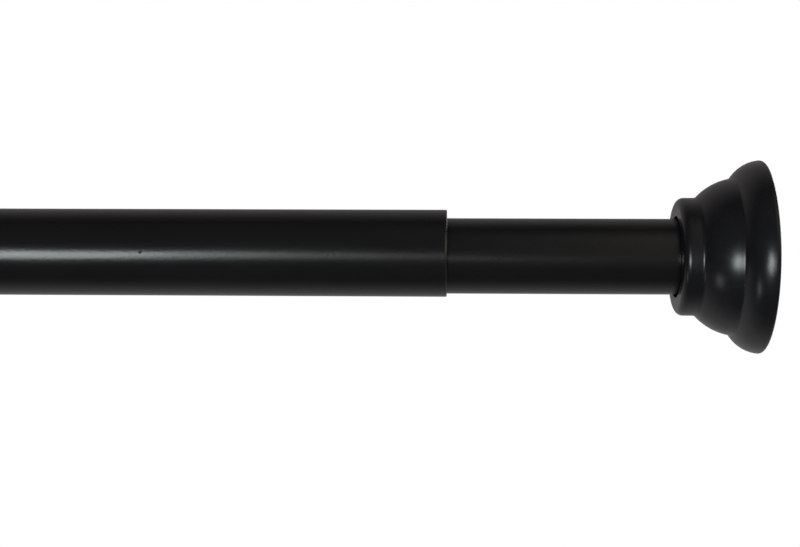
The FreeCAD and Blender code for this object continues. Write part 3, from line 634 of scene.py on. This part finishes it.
# Floor: plain white paper, well below a rod that hangs between walls. The camera sees it as pure white, and
# it stays out of the gloss, which mirrors the studio instead.
FLOOR_DEPTH = 2.0
FLOOR_HALF = 30.0
FLOOR_PARTS = 4
PAPER = "#f2f2f2"
WHITE = (1, 1, 1, 1)
ground = bmesh.new()
bmesh.ops.create_grid(ground, x_segments=FLOOR_PARTS, y_segments=FLOOR_PARTS, size=FLOOR_HALF)
bmesh.ops.translate(ground, verts=ground.verts, vec=(0, 0, -FLOOR_DEPTH))
ground_mesh = bpy.data.meshes.new("studio_floor")
ground.to_mesh(ground_mesh)
ground.free()
floor = bpy.data.objects.new("studio_floor", ground_mesh)
bpy.context.scene.collection.objects.link(floor)
floor.visible_glossy = False
paper, tree, shader, place = new_finish("white_paper_floor")
shader.inputs["Base Color"].default_value = linear(PAPER)
shader.inputs["Roughness"].default_value = 0.9
seen = add_node(tree, "ShaderNodeLightPath", {})
glow = add_node(tree, "ShaderNodeEmission", {"Color": WHITE, "Strength": 1.0})
shown = add_node(tree, "ShaderNodeMixShader", {
    0: seen.outputs["Is Camera Ray"], 1: shader.outputs["BSDF"], 2: glow.outputs["Emission"]})
tree.links.new(shown.outputs["Shader"], tree.nodes["Material Output"].inputs["Surface"])
ground_mesh.materials.append(paper)

# Studio: a plain soft light all round and a white background. What the gloss mirrors is a pale sweep below
# and behind the rod, with a dim room in front of it that is lighter and warmer to the right. Directions are
# shares of a unit vector, and colours here are linear light.
SOFT_LIGHT = (0.62, 0.62, 0.62, 1)
SWEEP_ABOVE = (0.22, 0.2, 0.203, 1)
SWEEP_BELOW = (0.322, 0.322, 0.322, 1)
ROOM_LEFT = (0.05, 0.05, 0.05, 1)
ROOM_RIGHT = (0.44, 0.418, 0.355, 1)
LEAST_LIGHT = (0.03, 0.03, 0.03)
world = bpy.data.worlds.new("studio")
bpy.context.scene.world = world
world.use_nodes = True
tree = world.node_tree
seen = add_node(tree, "ShaderNodeLightPath", {})
facing = add_node(tree, "ShaderNodeSeparateXYZ", {
    "Vector": add_node(tree, "ShaderNodeTexCoord", {}).outputs["Generated"]})
low = add_node(tree, "ShaderNodeMapRange", {
    "Value": facing.outputs["Z"], "From Min": 0.03, "From Max": -0.15})
sweep_start = add_node(tree, "ShaderNodeMapRange", {
    "Value": low.outputs["Result"], "To Min": 0.05, "To Max": -0.3})
sweep_full = add_node(tree, "ShaderNodeMapRange", {
    "Value": low.outputs["Result"], "To Min": 0.55, "To Max": 0.35})
behind = add_node(tree, "ShaderNodeMapRange", {
    "Value": facing.outputs["Y"], "From Min": sweep_start.outputs["Result"],
    "From Max": sweep_full.outputs["Result"]})
tint = add_node(tree, "ShaderNodeMix", {
    "Factor": low.outputs["Result"], "A": SWEEP_ABOVE, "B": SWEEP_BELOW}, data_type="RGBA")
sweep = add_node(tree, "ShaderNodeVectorMath", {
    0: tint.outputs["Result"], "Scale": behind.outputs["Result"]}, operation="SCALE")
before = add_node(tree, "ShaderNodeMapRange", {"Value": facing.outputs["Y"], "From Max": -0.5})
raised = add_node(tree, "ShaderNodeMapRange", {
    "Value": facing.outputs["Z"], "From Min": -0.65, "From Max": 0.9})
right = add_node(tree, "ShaderNodeMapRange", {
    "Value": facing.outputs["X"], "From Min": 0.06, "From Max": 0.14,
    "To Max": raised.outputs["Result"]})
room = add_node(tree, "ShaderNodeMix", {
    "Factor": right.outputs["Result"], "A": ROOM_LEFT, "B": ROOM_RIGHT}, data_type="RGBA")
front = add_node(tree, "ShaderNodeVectorMath", {
    0: room.outputs["Result"], "Scale": before.outputs["Result"]}, operation="SCALE")
mirrored = add_node(tree, "ShaderNodeVectorMath", {0: sweep.outputs["Vector"], 1: front.outputs["Vector"]})
lifted = add_node(tree, "ShaderNodeVectorMath", {0: mirrored.outputs["Vector"], 1: LEAST_LIGHT})
mirror_ray = add_node(tree, "ShaderNodeMath", {
    0: seen.outputs["Is Glossy Ray"], 1: seen.outputs["Is Transmission Ray"]}, operation="MAXIMUM")
soft = add_node(tree, "ShaderNodeMix", {
    "Factor": mirror_ray.outputs["Value"], "A": SOFT_LIGHT, "B": lifted.outputs["Vector"]},
    data_type="RGBA")
shown = add_node(tree, "ShaderNodeMix", {
    "Factor": seen.outputs["Is Camera Ray"], "A": soft.outputs["Result"], "B": WHITE}, data_type="RGBA")
tree.links.new(shown.outputs["Result"], tree.nodes["Background"].inputs["Color"])

# Softboxes: the main one stands far off to the left of the camera, low and hung askew. A white board beside
# it draws the gloss out along the tube, a weak reflector stands further left, and another softbox lights
# the back. Their directions from the mouth are in degrees, their distances and sizes in metres.
LIT_POINT = Vector((MOUTH * MM, 0, 0))
for name, across, up, away, width, height, roll, power, colour in (
        ("main_softbox", -19.8, -4.6, 6.0, 1.62, 1.80, -20.0, 98.0, (0.9, 1.0, 0.985)),
        ("white_board", -6.2, -5.2, 2.5, 0.56, 0.60, 0.0, 0.86, (1.0, 0.985, 0.93)),
        ("low_reflector", -58.0, -30.0, 1.6, 0.34, 0.34, 0.0, 0.6, (1.0, 1.0, 1.0)),
        ("back_softbox", 135.0, 10.0, 5.0, 2.4, 1.6, 0.0, 60.0, (1.0, 1.0, 1.0))):
    turn, rise = math.radians(across), math.radians(up)
    towards = Vector((math.sin(turn) * math.cos(rise), -math.cos(turn) * math.cos(rise), math.sin(rise)))
    light = bpy.data.lights.new(name, "AREA")
    light.shape = "RECTANGLE"
    light.size = width
    light.size_y = height
    light.energy = power
    light.color = colour
    lamp = bpy.data.objects.new(name, light)
    lamp.location = LIT_POINT + towards * away
    rolled = towards.to_track_quat("Z", "Y") @ Quaternion((0, 0, 1), math.radians(roll))
    lamp.rotation_euler = rolled.to_euler()
    bpy.context.scene.collection.objects.link(lamp)

# Camera: a little above the rod's height and close to its mouth, as the photograph was taken. Its place is
# in metres and its angles are in degrees.
CAMERA_PLACE = (0.55512, -0.4215, 0.01947)
CAMERA_YAW = -1.780
CAMERA_PITCH = -3.451
CAMERA_ROLL = 0.140
FOCAL_LENGTH = 65.0
SENSOR_WIDTH = 36.0
lens = bpy.data.cameras.new("camera")
lens.lens = FOCAL_LENGTH
lens.sensor_width = SENSOR_WIDTH
camera = bpy.data.objects.new("camera", lens)
aim = (Matrix.Rotation(math.radians(-CAMERA_YAW), 4, "Z")
       @ Matrix.Rotation(math.radians(90 + CAMERA_PITCH), 4, "X")
       @ Matrix.Rotation(math.radians(CAMERA_ROLL), 4, "Z"))
camera.matrix_world = Matrix.Translation(CAMERA_PLACE) @ aim
bpy.context.scene.collection.objects.link(camera)
bpy.context.scene.camera = camera
bpy.context.scene.view_settings.view_transform = "Standard"
